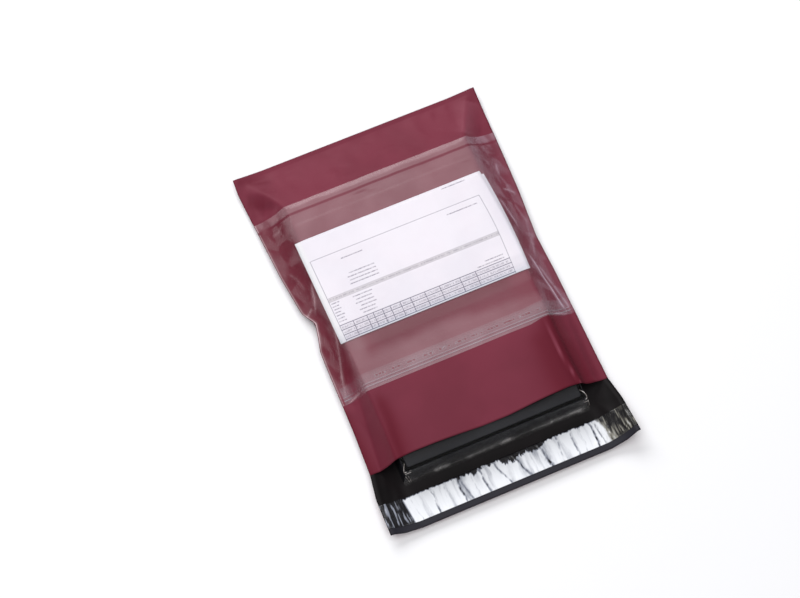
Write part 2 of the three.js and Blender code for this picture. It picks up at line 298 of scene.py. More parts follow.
def back_outer(across, along):
    """Underside of the back panel and the flap."""
    lift = outward(across, along, CURL_START)
    up = seam_up(across, along) * lift ** 1.5
    wings = smoothstep(CURL_START, CURL_START + 12, np.abs(across)) * smoothstep(90, 60, along)
    end = END_LIFT * np.clip((along - END_LIFT_START) / (LENGTH - END_LIFT_START), 0, 1) ** 1.7
    spring = FLAP_SPRING * np.clip(1 - along / 40, 0, 1) ** 1.6 * smoothstep(134, 106, np.abs(across))
    return up + np.maximum(folds(across, along, FLAP_FOLDS), 0) * wings + end + spring


def back_inner(across, along):
    return back_outer(across, along) + FILM


def weld_top(across, along):
    """Outer face of the front panel where it is welded to the back panel."""
    return back_outer(across, along) + 2 * FILM + WELD_GAP


# Folds of the maroon front panel. The box pulls pleats beside its front corners, and fans run from its back
# corners to the corners of the bag.
PANEL_FOLDS = [
    ([(-121, 60), (-118, 85), (-112, 138), (-109, 175)], -2.2, 4.0, 1.2, (0.0, 0.3)),
    ([(-106, 60), (-103, 80), (-98.5, 110), (-100, 138), (-101, 168)], 1.5, 2.8, 0.8, (0.0, 0.3)),
    ([(-93, 60), (-90, 85), (-88, 110), (-90, 135), (-92, 160)], -0.8, 4.0, 2.0, (0.0, 0.4)),
    ([(99, 165), (97, 135), (96, 108), (98, 86), (102.5, 60)], 0.2, 1.4, 0.6, (0.2, 0.0)),
    ([(107, 165), (104, 125), (105, 90), (108, 60)], -2.4, 4.0, 1.2, (0.3, 0.0)),
    ([(122, 160), (119, 120), (117, 66)], 1.3, 4.5, 1.2, (0.3, 0.0)),
    ([(127, 110), (128, 66)], -1.0, 2.5, 1.0, (0.4, 0.0)),
    ([(-103, 356), (-118, 384), (-133, 412)], 0.5, 5.0, 1.6, (0.1, 0.2)),
    ([(-139, 421), (-118, 411), (-92, 402)], -1.0, 4.5, 1.6, (0.1, 0.3)),
    ([(-137, 403), (-117, 392), (-98, 381)], 0.8, 4.5, 1.8, (0.1, 0.3)),
    ([(-136, 384), (-120, 376), (-106, 369)], -1.4, 5.0, 1.6, (0.1, 0.2)),
    ([(-104, 352), (-120, 361), (-136, 372)], 0.6, 3.6, 1.2, (0.2, 0.1)),
    ([(-84, 372), (-92, 396), (-102, 414)], 0.5, 6.0, 2.0, (0.3, 0.2)),
    ([(102, 356), (114, 380), (131, 412)], 0.6, 5.0, 1.6, (0.1, 0.2)),
    ([(98, 366), (106, 390), (113, 414)], -0.8, 7.0, 2.4, (0.2, 0.2)),
    ([(106, 352), (120, 366), (135, 380)], -1.0, 4.5, 1.2, (0.2, 0.2)),
    ([(60, 372), (64, 394), (66, 414)], 0.5, 8.0, 3.0, (0.3, 0.3)),
    ([(10, 374), (12, 396), (16, 414)], -0.5, 9.0, 3.0, (0.3, 0.3)),
    ([(-40, 372), (-42, 394), (-40, 414)], 0.5, 9.0, 3.0, (0.3, 0.3)),
]

# Painted light and shade on the front panel. The height of each of these folds is how much darker it is
# painted there, as painted shade in its valleys, beside its pleats and under the sheet's edge, and below 0 how
# much paler, as painted highlight.
PANEL_PAINTED_SHADE = [
    ([(101, 166), (100, 120), (102, 60)], 0.36, 9.0, 4.0, (0.25, 0.0)),
    ([(80, 150), (82, 60)], 0.14, 12.0, 6.0, (0.3, 0.0)),
    ([(-94, 150), (-93, 110), (-97, 60)], 0.24, 7.0, 3.0, (0.3, 0.0)),
    ([(-130, 150), (-130, 60)], 0.22, 6.0, 2.0, (0.2, 0.0)),
    ([(-137, 392), (-122, 384), (-108, 374)], 0.16, 7.0, 4.0, (0.1, 0.2)),
    ([(-139, 418), (-118, 410), (-96, 402)], 0.14, 5.0, 3.0, (0.1, 0.3)),
    ([(106, 369), (116, 386), (130, 408)], -0.24, 9.0, 6.0, (0.05, 0.05)),
    ([(97.5, 160), (96, 130), (95.4, 106), (97.4, 86), (101.8, 60)], -0.7, 0.8, 0.3, (0.3, 0.0)),
    ([(-80, 193), (0, 194), (88, 198)], 0.2, 7.0, 4.0, (0.1, 0.1)),
    ([(-110, 366), (-124, 372)], -0.16, 7.0, 5.0, (0.1, 0.1)),
]

# Low swells of the front panel over the carton's lid, which it doesn't quite touch.
PANEL_SWELLS = [
    ([(48, 160), (50, 110), (54, 50)], 2.2, 22.0, 14.0, (0.3, 0.0)),
    ([(-55, 160), (-58, 110), (-60, 50)], 1.0, 22.0, 14.0, (0.3, 0.0)),
]


def panel_light_and_shade(across, along):
    """How light the front panel's colour is painted, where 1 is its own tone, with painted shade and painted
    highlight.
    """
    # Painted shade on the slopes, more on the left, and towards the mouth.
    slopes = smoothstep(SHOULDER - 2, SHOULDER + 8, np.abs(across)) * smoothstep(150, 175, along)
    slopes *= smoothstep(372, 345, along) * np.where(across < 0, 0.24, 0.06)
    mouth = 0.08 * smoothstep(160, 66, along)
    return np.maximum(1 - slopes - mouth - folds(across, along, PANEL_PAINTED_SHADE), 0.4)


def hang(slope, rounded, sag):
    """0 at the shoulder to 1 at the weld, for film that bends over a rounded shoulder and may hang hollow."""
    bent = (np.sqrt(slope ** 2 + rounded ** 2) - rounded) / (math.sqrt(1 + rounded ** 2) - rounded)
    return 1 - (1 - bent) ** sag


def off_box(across, along):
    """0 where the front panel is held on the box, 1 where it hangs free of it."""
    side = smoothstep(SHOULDER - 8, SHOULDER + 5, np.abs(across))
    end = smoothstep(CROWN_END - 2, CROWN_END + 8, along)
    return np.maximum(side, end)


def off_weld(across, along):
    """0 on the side welds and at the closed end, 1 a little inside them."""
    side = smoothstep(0, 7, seam_out(across, along) - LAND - np.abs(across))
    return side * smoothstep(0, 7, LENGTH - LAND - along)


def front_outer(across, along):
    """Outer face of the front panel."""
    foot = weld_top(across, along)
    seam = weld_top(np.sign(across) * FAR_OUT, along)
    slope = outward(across, along, SHOULDER)
    side = CROWN + (seam - CROWN) * hang(slope, SHOULDER_ROUND, PANEL_SAG)
    down = np.clip((along - CROWN_END) / (LENGTH - LAND - CROWN_END), 0, 1)
    end = CROWN + (foot - CROWN) * hang(down, SHOULDER_ROUND, 1.0)
    form = np.where(along > CROWN_END - 20, soft_min(side, end, 1.6), side)
    free = off_box(across, along) * off_weld(across, along)
    waves = 0.35 * value_noise(across / 13 + 20, along / 21, 7) + 0.45 * crumple(across, along, 17, 11)
    form = form + free * (folds(across, along, PANEL_FOLDS) + waves)
    on_box = np.where((np.abs(across) < SHOULDER - 1) & (along < CROWN_END), CROWN, foot)
    swell = 0.25 * (1 + value_noise(across / 34 + 7, along / 40, 3)) + folds(across, along, PANEL_SWELLS)
    swell = np.maximum(swell, 0) * (1 - off_box(across, along))
    under_sheet = window(along, (SHEET_LOW[1] - 8, SHEET_LOW[1] - 3), (SHEET_HIGH[1] + 8, SHEET_HIGH[1] + 3))
    pressed = np.maximum(form + swell - (sheet_base(across) - SHEET_CLEARANCE), 0)
    pressed *= np.abs(across) < SHEET_HALF
    return np.maximum(form + swell - pressed * under_sheet, on_box)


# Folds of the clear pouch film on the slopes beside the box.
POUCH_FOLDS = [
    ([(-109, 278), (-113, 258), (-118, 243)], 1.5, 1.5, 0.25, (0.2, 0.1)),
    ([(-106, 224), (-112, 195), (-121.5, 162)], 1.6, 1.5, 0.25, (0.1, 0.1)),
    ([(-131, 255), (-126, 245), (-119, 236), (-122, 222), (-126, 200)], 1.5, 1.8, 0.3, (0.05, 0.3)),
    ([(-112, 236), (-118, 205), (-125, 180)], -1.5, 2.6, 0.6, (0.2, 0.2)),
    ([(-118, 176), (-121, 160), (-124, 147)], 1.2, 1.5, 0.3, (0.2, 0.0)),
    ([(-113, 352), (-109, 338), (-111, 322)], -1.5, 2.6, 0.5, (0.2, 0.3)),
    ([(-128, 345), (-119, 338), (-111, 336)], 1.0, 2.0, 0.4, (0.2, 0.2)),
    ([(-128, 326), (-119, 314), (-112, 306)], -1.2, 2.6, 0.5, (0.2, 0.2)),
    ([(-127, 300), (-121, 288), (-117, 270)], 1.1, 2.2, 0.3, (0.2, 0.2)),
    ([(128, 346), (123, 330), (117, 315), (109, 290)], -2.0, 2.6, 0.3, (0.1, 0.2)),
    ([(125, 336), (122, 322), (121, 310)], 1.4, 1.5, 0.3, (0.2, 0.2)),
    ([(131, 328), (128, 312), (127, 296)], 1.4, 1.6, 0.3, (0.2, 0.2)),
    ([(113, 297), (120, 295), (131, 289)], 1.6, 1.5, 0.3, (0.2, 0.2)),
    ([(108, 288), (111.5, 268), (115, 248)], 1.6, 1.6, 0.25, (0.1, 0.2)),
    ([(121, 290), (124, 268), (127, 250)], -1.6, 2.4, 0.4, (0.2, 0.2)),
    ([(127, 262), (122, 230), (116, 207)], 1.8, 2.0, 0.25, (0.1, 0.05)),
    ([(131, 258), (128, 236), (116, 207)], -1.4, 2.4, 0.4, (0.1, 0.05)),
    ([(106, 232), (112.4, 208), (118, 176), (123.5, 144)], 1.8, 2.2, 0.4, (0.2, 0.0)),
    ([(115.6, 207), (124, 172), (130, 143)], 1.2, 1.6, 0.4, (0.1, 0.0)),
    ([(114, 207), (121, 174), (127, 144)], -1.5, 1.4, 0.4, (0.1, 0.0)),
]

# Painted highlights along those creases, where the film also whitens a little: a path, and how strongly.
POUCH_GLINTS = [
    ([(-109.5, 276), (-113, 258), (-118, 243)], 0.16), ([(-106, 224), (-112, 195), (-121.5, 162)], 0.13),
    ([(-130, 254), (-126, 245.5), (-121, 237), (-123.5, 222), (-127, 208)], 0.34),
    ([(-127, 247), (-122, 250), (-118, 252)], 0.22), ([(-118, 176), (-121, 160), (-124, 147)], 0.10),
    ([(-113, 350), (-118, 344), (-127, 343)], 0.08), ([(-127, 300), (-121, 288), (-117, 270)], 0.07),
    ([(117, 296), (122, 295), (130, 289)], 0.26), ([(124.3, 329), (122, 322), (121.3, 313)], 0.15),
    ([(108.1, 287), (111.5, 268), (114.6, 249)], 0.20), ([(127, 262), (122, 230), (116, 207)], 0.12),
    ([(110, 220), (112.4, 208), (118, 176), (123.3, 144)], 0.40),
    ([(115.6, 207), (124, 172), (130, 143)], 0.20), ([(106, 148.4), (116, 145.5), (128, 141.5)], 0.24),
    ([(-108, 148), (-118, 144.5), (-128, 141)], 0.20),
    ([(119, 318), (123, 306), (126, 292)], 0.10), ([(112, 336), (117, 316), (119, 300)], 0.08),
    ([(118, 236), (123, 228), (126, 240), (118, 243)], 0.12), ([(122, 280), (126, 262), (128, 252)], 0.10),
]


def sheet_base(across):
    """Underside of the folded sheet, which overhangs the box and droops there."""
    return CROWN + 0.7 - 1.8 * smoothstep(96, 112, np.abs(across))


def pouch_inner(across, along):
    """Inner face of the clear pouch film."""
    panel = front_outer(across, along)
    seal = POUCH_HIGH[1] - SEAL
    over_sheet = window(along, (SHEET_LOW[1] - 14, SHEET_LOW[1] - 1), (seal + 2, SHEET_HIGH[1]))
    on_band = smoothstep(BAND_HIGH[1] + 6, BAND_HIGH[1] - 1, along)
    beside = smoothstep(SHOULDER - 2, SHOULDER + 5, np.abs(across)) * off_weld(across, along)
    near = 0.12 + 0.45 * on_band + (0.45 + 0.5 * on_band) * beside
    rise = near + (1.6 - near) * over_sheet
    edge = np.where(across < 0, -SHEET_LOW[0], SHEET_HIGH[0]) + SHEET_MARGIN
    reach = SHOULDER + (edge - SHOULDER) * over_sheet
    weld = seam_out(across, along) - LAND
    slope = np.clip((np.abs(across) - reach) / (weld - reach), 0, 1)
    seam = weld_top(np.sign(across) * FAR_OUT, along) + 0.1
    bridge = (CROWN + rise) + (seam - CROWN - rise) * hang(slope, 0.03, POUCH_SAG)
    on_sheet = over_sheet * smoothstep(reach + 4, reach, np.abs(across))
    bridge = np.maximum(bridge, panel + near + (sheet_base(across) + 0.95 - panel - near) * on_sheet)
    in_pouch = smoothstep(seal + 1, seal - 9, along)
    free = off_weld(across, along) * smoothstep(reach, reach + 4, np.abs(across)) * in_pouch
    form = panel + near + np.maximum(bridge - panel - near, 0) * in_pouch
    creases = folds(across, along, POUCH_FOLDS) + 0.8 * crumple(1.2 * across, 0.8 * along, 12, 23, sharp=14)
    return np.maximum(form + free * creases, panel + near)


# ---- Meshes ----

def make_object(name, vertices, faces, materials, smooth=True):
    """A mesh object at the origin, from points in millimetres as (across, along, height)."""
    points = np.array(vertices, float)
    points[:, 1] -= LENGTH / 2
    mesh = bpy.data.meshes.new(name)
    mesh.from_pydata((points * MM).tolist(), [], [list(map(int, face)) for face in faces])
    for material in materials:
        mesh.materials.append(material)
    if smooth:
        mesh.polygons.foreach_set("use_smooth", np.ones(len(mesh.polygons), dtype=bool))
    mesh.update()
    piece = bpy.data.objects.new(name, mesh)
    bpy.context.scene.collection.objects.link(piece)
    return piece


def grid_faces(rows, columns):
    index = np.arange(rows * columns).reshape(rows, columns)
    quads = [index[:-1, :-1], index[:-1, 1:], index[1:, 1:], index[1:, :-1]]
    return np.stack([corner.ravel() for corner in quads], -1)


def make_sheet(name, across, along, height, *materials, flip=False):
    """A film or a sheet, from the places and heights of its grid of points."""
    faces = grid_faces(*across.shape)
    points = np.stack([across, along, height], -1).reshape(-1, 3)
    return make_object(name, points, faces[:, ::-1] if flip else faces, materials)


def set_values(piece, name, values):
    """Stores a number for every point of a piece, which its material reads by name."""
    piece.data.attributes.new(name, "FLOAT", "POINT").data.foreach_set("value", np.ravel(values))


def film_columns(along, inner_step=2.9, slope_steps=18, weld_steps=2, edge=1.0):
    """Across positions for one row: even over the box, then evenly down each slope, then over the weld.
    edge is how much of the weld's width the film covers."""
    half = []
    inner = np.linspace(0, SHOULDER, int(round(SHOULDER / inner_step)) + 1)
    for side in (-1, 1):
        out = smooth_read(SEAM_OUT[side], along)
        slope = np.linspace(SHOULDER, out - LAND, slope_steps + 1)[1:]
        weld = np.linspace(out - LAND, out - LAND + LAND * edge, weld_steps + 1)[1:]
        half.append(side * np.concatenate([inner if side > 0 else inner[1:], slope, weld]))
    return np.concatenate([half[0][::-1], half[1]])


def film_grid(rows, **columns):
    """Across and along of every grid point, for the given along positions."""
    across = np.array([film_columns(along, **columns) for along in rows])
    along = np.repeat(np.array(rows, float)[:, None], across.shape[1], axis=1)
    return across, along


def steps(start, end, size):
    return np.linspace(start, end, max(2, int(round(abs(end - start) / size)) + 1))


def strip_grid(low, high, row_step, columns, inset):
    """Grid of a strip across the flap, that stops short of both seams by the inset."""
    along = np.repeat(steps(low[1], high[1], row_step)[:, None], columns, axis=1)
    spread = np.linspace(-1, 1, columns)
    return spread * (seam_out(spread + 0 * along, along) - inset), along


def thicken(piece, thickness, inner_material=0, side=-1.0):
    """Gives a sheet its thickness, on the side its normals point away from by default."""
    modifier = piece.modifiers.new("thickness", "SOLIDIFY")
    modifier.thickness = thickness * MM
    modifier.offset = side
    modifier.use_even_offset = False
    modifier.material_offset = inner_material
    modifier.material_offset_rim = 0


def finish_piece(piece, slot, *nodes):
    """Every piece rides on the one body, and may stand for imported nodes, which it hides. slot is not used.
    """
    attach(piece, "root")
    if nodes:
        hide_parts(*nodes)


# ---- Materials ----

def colour(red, green, blue):
    """A display colour, 0 to 255, as the linear colour that shaders take."""
    values = [channel / 255 for channel in (red, green, blue)]
    return tuple(v / 12.92 if v <= 0.04045 else ((v + 0.055) / 1.055) ** 2.4 for v in values) + (1.0,)


class Shader:
    """A material under construction. Sockets and plain numbers can be mixed freely in its calls."""

    def __init__(self, name):
        self.material = bpy.data.materials.new(name)
        self.material.use_nodes = True
        self.tree = self.material.node_tree
        self.tree.nodes.clear()
        self.output = self.tree.nodes.new("ShaderNodeOutputMaterial")
        self.coordinates = self.tree.nodes.new("ShaderNodeTexCoord").outputs["Object"]

    def link(self, value, socket):
        if isinstance(value, bpy.types.NodeSocket):
            self.tree.links.new(value, socket)
        elif value is not None:
            socket.default_value = value

    def node(self, kind, inputs=None, **settings):
        made = self.tree.nodes.new(kind)
        for name, value in settings.items():
            setattr(made, name, value)
        for name, value in (inputs or {}).items():
            self.link(value, made.inputs[name])
        return made

    def math(self, operation, first, *others):
        total = first
        for other in others:
            total = self.node("ShaderNodeMath", {0: total, 1: other}, operation=operation).outputs[0]
        return total

    def add(self, *values):
        return self.math("ADD", *values)

    def times(self, *values):
        return self.math("MULTIPLY", *values)

    def either(self, *masks):
        return self.math("MAXIMUM", *masks)

    def less(self, first, second):
        return self.math("SUBTRACT", first, second)

    def axis(self, index):
        """One coordinate in the bag's own terms, millimetres: 0 across, 1 along, 2 height."""
        parts = self.node("ShaderNodeSeparateXYZ", {0: self.coordinates})
        scaled = self.times(parts.outputs[index], 1 / MM)
        return self.add(scaled, LENGTH / 2) if index == 1 else scaled

    def sheet_axes(self):
        """Millimetres from the left edge and from the fold of a folded sheet, from its UV layer."""
        layer = self.node("ShaderNodeUVMap", uv_map="sheet")
        parts = self.node("ShaderNodeSeparateXYZ", {0: layer.outputs[0]})
        return [self.times(parts.outputs[index], 1 / MM) for index in (0, 1)]

    def attribute(self, name):
        return self.node("ShaderNodeAttribute", attribute_name=name).outputs["Fac"]

    def stretched(self, across=1.0, along=1.0, height=1.0):
        """The coordinates, in millimetres, scaled by axis."""
        scale = (across / MM, along / MM, height / MM)
        return self.node("ShaderNodeMapping", {"Vector": self.coordinates, "Scale": scale}).outputs[0]

    def noise(self, size, detail=2.0, vector=None):
        """Noise from 0 to 1 whose features are about size millimetres across."""
        vector = vector if vector is not None else self.stretched()
        made = self.node("ShaderNodeTexNoise", {"Vector": vector, "Scale": 1 / size, "Detail": detail})
        return made.outputs["Fac"]

    def wander(self, size, amount):
        """Noise about 0, to shift a place by a share of the amount."""
        return self.times(self.less(self.noise(size), 0.5), amount)

    def spread(self, value, low, high, out_low=0.0, out_high=1.0, smooth=True):
        """Maps a range of values to another, clamped."""
        made = self.node("ShaderNodeMapRange", {"Value": value, "From Min": low, "From Max": high,
                                                "To Min": out_low, "To Max": out_high})
        made.interpolation_type = "SMOOTHSTEP" if smooth else "LINEAR"
        return made.outputs["Result"]

    def patches(self, size, low, high, *out, detail=3):
        """Noise with the values from low to high spread over the range asked, 0 to 1 if none is."""
        return self.spread(self.noise(size, detail), low, high, *out)

    def inside(self, value, low, high, soft=0.25):
        """1 between two values, 0 outside, with an edge that is soft over that many units."""
        rise = self.spread(value, low - soft, low + soft, smooth=False)
        fall = self.spread(value, high - soft, high + soft, 1.0, 0.0, smooth=False)
        return self.times(rise, fall)

    def mix(self, factor, first, second):
        made = self.node("ShaderNodeMix", data_type="RGBA")
        self.link(factor, made.inputs["Factor"])
        for socket in made.inputs:
            if socket.type == "RGBA":
                self.link(first if socket.name == "A" else second, socket)
        return next(s for s in made.outputs if s.type == "RGBA")

    def bump(self, height, strength, distance, normal=None):
        made = self.node("ShaderNodeBump", {"Height": height, "Strength": strength, "Distance": distance * MM,
                                            "Normal": normal})
        return made.outputs["Normal"]

    def principled(self, base, roughness, normal=None, specular=0.5, gloss_tint=(1, 1, 1, 1)):
        made = self.node("ShaderNodeBsdfPrincipled", {
            "Base Color": base, "Roughness": roughness, "Specular IOR Level": specular,
            "Specular Tint": gloss_tint, "Normal": normal})
        return made.outputs[0]

    def blend(self, factor, first, second):
        made = self.node("ShaderNodeMixShader", {0: factor})
        self.link(first, made.inputs[1])
        self.link(second, made.inputs[2])
        return made.outputs[0]

    def clear(self, haze, tint, roughness, normal, shine=1.0):
        """Clear film: see-through, with gloss that grows towards the edge of view, and haze that scatters."""
        facing = self.node("ShaderNodeLayerWeight", {"Blend": 0.5, "Normal": normal}).outputs["Facing"]
        fresnel = self.add(0.07, self.times(self.math("POWER", facing, 4.0), 0.8))
        gloss = self.node("ShaderNodeBsdfGlossy",
                          {"Color": (1, 1, 1, 1), "Roughness": roughness, "Normal": normal})
        see_through = self.node("ShaderNodeBsdfTransparent").outputs[0]
        scatter = self.node("ShaderNodeBsdfDiffuse", {"Color": tint, "Normal": normal}).outputs[0]
        film = self.blend(self.times(fresnel, shine), see_through, gloss.outputs[0])
        return self.blend(haze, film, scatter)

    def finish(self, surface):
        self.link(surface, self.output.inputs["Surface"])
        return self.material


def maroon_film():
    """Outside of the bag: soft gloss polythene, with a fine grain and slow changes of tone, and painted light
    and shade from its tone attribute.
    """
    s = Shader("maroon_film")
    base = s.mix(s.patches(60, 0.35, 0.65), colour(107, 43, 57), colour(113, 46, 61))
    full = s.attribute("tone")
    # Painted shade below a tone of 1: darker and redder, down to near black; painted highlight above 1: paler.
    base = s.mix(s.spread(full, 0.7, 0.95, 1.0, 0.0), base, colour(108, 31, 47))
    base = s.mix(s.less(1.0, full), base, colour(6, 2, 3))
    base = s.mix(s.spread(full, 1.0, 1.5), base, colour(135, 74, 88))
    grain = s.noise(0.9)
    waves = s.noise(28, vector=s.stretched(along=0.45))
    normal = s.bump(grain, 0.08, 0.15, s.bump(waves, 0.35, 0.8))
    rough = s.patches(35, 0.3, 0.7, 0.42, 0.50)
    rough = s.add(rough, s.spread(full, 0.56, 0.8, 0.45, 0.0))
    return s.finish(s.principled(base, rough, normal, specular=0.19, gloss_tint=(1.0, 0.5, 0.6, 1)))


def black_film():
    """Inside of the bag: the black layer of the same film, greyer on the folded hem."""
    s = Shader("black_film")
    base = s.mix(s.patches(40, 0.3, 0.7), colour(14, 11, 12), colour(20, 15, 17))
    hem = s.inside(s.axis(1), -5, HEM, 0.4)
    base = s.mix(hem, base, colour(38, 37, 44))
    # Painted shade: a darker line along the fold of the hem.
    crease = s.inside(s.axis(1), HEM - 0.2, HEM + 0.8, 0.5)
    base = s.mix(s.times(crease, 0.8), base, colour(10, 8, 10))
    waves = s.noise(22, vector=s.stretched(across=0.5))
    grain = s.noise(0.9)
    normal = s.bump(grain, 0.1, 0.15, s.bump(waves, 0.4, 0.8))
    return s.finish(s.principled(base, 0.5, normal, specular=0.13))


def pouch_clear():
    """The pouch: clear film with a slight haze, which its top seal has more of. Where it clings to the panel,
    on the slopes and in slits under the seal, it has less."""
    s = Shader("pouch_clear")
    along, across = s.axis(1), s.axis(0)
    seal_low = POUCH_HIGH[1] - SEAL
    placed = s.add(along, s.wander(45, 2.2))
    seal = s.inside(along, seal_low + 1.0, POUCH_HIGH[1] + 5, 0.5)
    gap_line = s.inside(placed, seal_low - 2.2, seal_low + 0.6, 0.5)
    slit_noise = s.noise(9, detail=1, vector=s.stretched(across=0.16, along=0.9))
    slits = s.times(s.spread(slit_noise, 0.62, 0.70), s.inside(along, seal_low - 22, seal_low - 3, 3.0))
    band_place = s.add(along, s.wander(30, 1.6))
    band_lines = s.either(*(s.inside(band_place, BAND_LOW[1] + low, BAND_LOW[1] + high, 0.4)
                            for low, high in ((2.4, 3.6), (5.6, 7.0))))
    clinging = s.either(gap_line, s.times(slits, 0.7), s.times(band_lines, 0.6))
    # The haze attribute carries painted shadow, painted reflections and painted highlights as well as haze.
    haze = s.times(s.patches(30, 0.3, 0.7, 0.098, 0.128), s.attribute("haze"))
    haze = s.times(haze, s.add(1.0, s.times(seal, 0.15)))
    haze = s.times(haze, s.less(1.0, s.times(clinging, 0.85)))
    waves = s.noise(16, detail=3, vector=s.stretched(along=0.6))
    fine = s.noise(4)
    normal = s.bump(fine, 0.05, 0.2, s.bump(waves, 0.35, 0.8))
    # The scatter is cooler over the slopes, where it is mostly painted reflection.
    tint = s.mix(s.spread(across, SHOULDER - 6, SHOULDER + 8),
                 colour(252, 224, 230), colour(238, 216, 234))
    shine = s.spread(s.math("ABSOLUTE", across, 0.0), SHOULDER - 5, SHOULDER + 5, 0.36, 0.10)
    return s.finish(s.clear(haze, tint, 0.28, normal, shine))


def printed_paper():
    """Office paper with a plain form: a frame, blocks of short lines, a grey band and a ruled table."""
    s = Shader("printed_paper")
    x, y = s.sheet_axes()
    x = s.add(x, s.times(s.spread(y, 0, 70, 2.0, 0.0), s.spread(x, 150, 196)))
    words = s.spread(s.noise(0.9, detail=1, vector=s.stretched(along=0.3)), 0.42, 0.52)

    def bar(left, right, low, high, soft=0.15):
        return s.times(s.inside(x, left, right, soft), s.inside(y, low, high, soft))

    def band(low, high):
        return bar(6.6, 196, low, high)

    def line(left, right, height):
        return s.times(bar(left, right, height - 0.6, height + 0.6), s.spread(words, 0, 1, 0.35, 1.0))

    frame = s.either(bar(6.25, 6.85, 0, 95), bar(195.65, 196.25, 0, 95), bar(6.2, 196.3, 94.65, 95.25))
    rules = [bar(6.3, 196.3, row - 0.4, row + 0.4) for row in (18.0, 12.6, 7.0, 1.6)]
    rules += [bar(column - 0.35, column + 0.35, 1.6, 18.0)
              for column in (21, 36, 43, 53, 61.5, 72.5, 84, 99.6, 116, 138.6, 156)]
    text = [line(37, 60.5, 86), line(156, 190, 87.5), line(164, 191, 116.5)]
    text += [line(left, 66, height) for left, height in ((38, 68), (35, 64), (36, 60), (34, 56))]
    text += [line(8, right, height) for right, height in
             ((17, 43), (15, 39.5), (16, 36), (14, 32.5), (17, 29), (15, 25.5), (16, 22))]
    text += [line(left, right, height) for left, right, height in
             ((31, 52, 42), (33, 50, 38), (31, 51, 34), (35, 52, 30), (32, 49, 26), (34, 50, 22))]
    text += [line(left, 191, height) for left, height in ((170, 24.5), (160, 20.8))]
    table_rows = s.math("LESS_THAN", s.math("PINGPONG", s.add(y, 1.1), 2.7), 1.1)
    table = s.times(bar(8, 194, 2.2, 17.4), words, table_rows)
    # Painted shade: greyer over the lower part of the sheet, a little more over the table, and most towards
    # the fold.
    shaded = s.add(s.times(s.inside(y, -5, 18, 2.0), 0.12), s.times(band(0, 18), 0.06),
                   s.spread(y, 2, 11, 0.2, 0.0))
    band_words = s.times(bar(7, 195.5, 46.8, 48.6), words)
    band_print = s.either(band(45.3, 45.8), band(49.7, 50.2), band_words)
    paper = s.mix(s.patches(70, 0.35, 0.65), colour(224, 224, 232), colour(231, 231, 238))
    paper = s.mix(s.times(s.inside(x, -2, 6.3, 0.3), 0.35), paper, colour(226, 232, 228))
    paper = s.mix(band(45.5, 50), paper, colour(203, 203, 208))
    paper = s.mix(s.times(band_print, 0.55), paper, colour(130, 130, 145))
    paper = s.mix(shaded, paper, colour(150, 152, 170))
    paper = s.mix(s.times(frame, 0.72), paper, colour(84, 92, 112))
    paper = s.mix(s.times(s.either(*rules), 0.95), paper, colour(62, 70, 96))
    paper = s.mix(s.times(s.either(*text, s.times(table, 0.6)), 0.72), paper, colour(84, 88, 110))
    normal = s.bump(s.noise(0.5), 0.12, 0.05)
    return s.finish(s.principled(paper, 0.75, normal, specular=0.2))


def band_film(name, haze, marks=False):
    """Layers of the pouch's closing band: hazy film, with a row of plain dashes on the liner."""
    s = Shader(name)
    along, across = s.axis(1), s.axis(0)
    tone = s.patches(30, 0.3, 0.7, haze * 0.8, haze * 1.45)
    tint = colour(208, 230, 240)
    if marks:
        row = s.inside(along, BAND_LOW[1] + 11.1, BAND_LOW[1] + 13.8, 0.25)
        beat = s.math("PINGPONG", s.add(across, 200.0), 9.0)
        dash = s.times(row, s.spread(beat, 2.4, 3.0), s.inside(across, -88, 96, 0.5))
        gaps = s.spread(s.noise(1.6, detail=1, vector=s.stretched(along=0.2)), 0.38, 0.46)
        mark = s.times(dash, gaps)
        bright = s.either(*(s.inside(along, BAND_LOW[1] + low, BAND_LOW[1] + high, 0.3)
                            for low, high in ((4.0, 4.7), (7.6, 8.1))))
        tone = s.add(tone, s.times(mark, 0.85), s.times(bright, 0.22))
        tint = s.mix(mark, tint, colour(112, 6, 36))
    tone = s.times(tone, s.less(1.0, s.times(s.inside(across, -117, -104, 4.0), 0.75)))
    normal = s.bump(s.noise(5), 0.2, 0.2)
    return s.finish(s.clear(tone, tint, 0.35, normal, shine=0.06))


def crinkled_liner():
    """The flap's release liner: bright crinkled film over the adhesive, dark where it's clear of it. Its tone
    carries painted shade and painted highlights.
    """
    s = Shader("crinkled_liner")
    tone = s.attribute("tone")
    fine = s.noise(1.4, detail=3, vector=s.stretched(along=0.12))
    speck = s.noise(1.1)
    tone = s.add(tone, s.times(s.less(fine, 0.5), 0.22), s.times(s.less(speck, 0.5), 0.10))
    # Middle tones are painted shade: blue-grey, turning olive towards the right end.
    middle = s.mix(s.spread(s.axis(0), 98, 110), colour(136, 140, 152), colour(128, 125, 116))
    base = s.mix(s.spread(tone, 0.08, 0.42), colour(20, 18, 21), middle)
    base = s.mix(s.spread(tone, 0.42, 0.95), base, colour(234, 236, 241))
    normal = s.bump(fine, 0.35, 0.35)
    return s.finish(s.principled(base, 0.22, normal, specular=0.5))


def milky_adhesive():
    s = Shader("milky_adhesive")
    base = s.mix(s.noise(6, detail=3), colour(196, 198, 204), colour(222, 224, 228))
    normal = s.bump(s.noise(1.5, detail=3), 0.4, 0.2)
    return s.finish(s.principled(base, 0.35, normal))


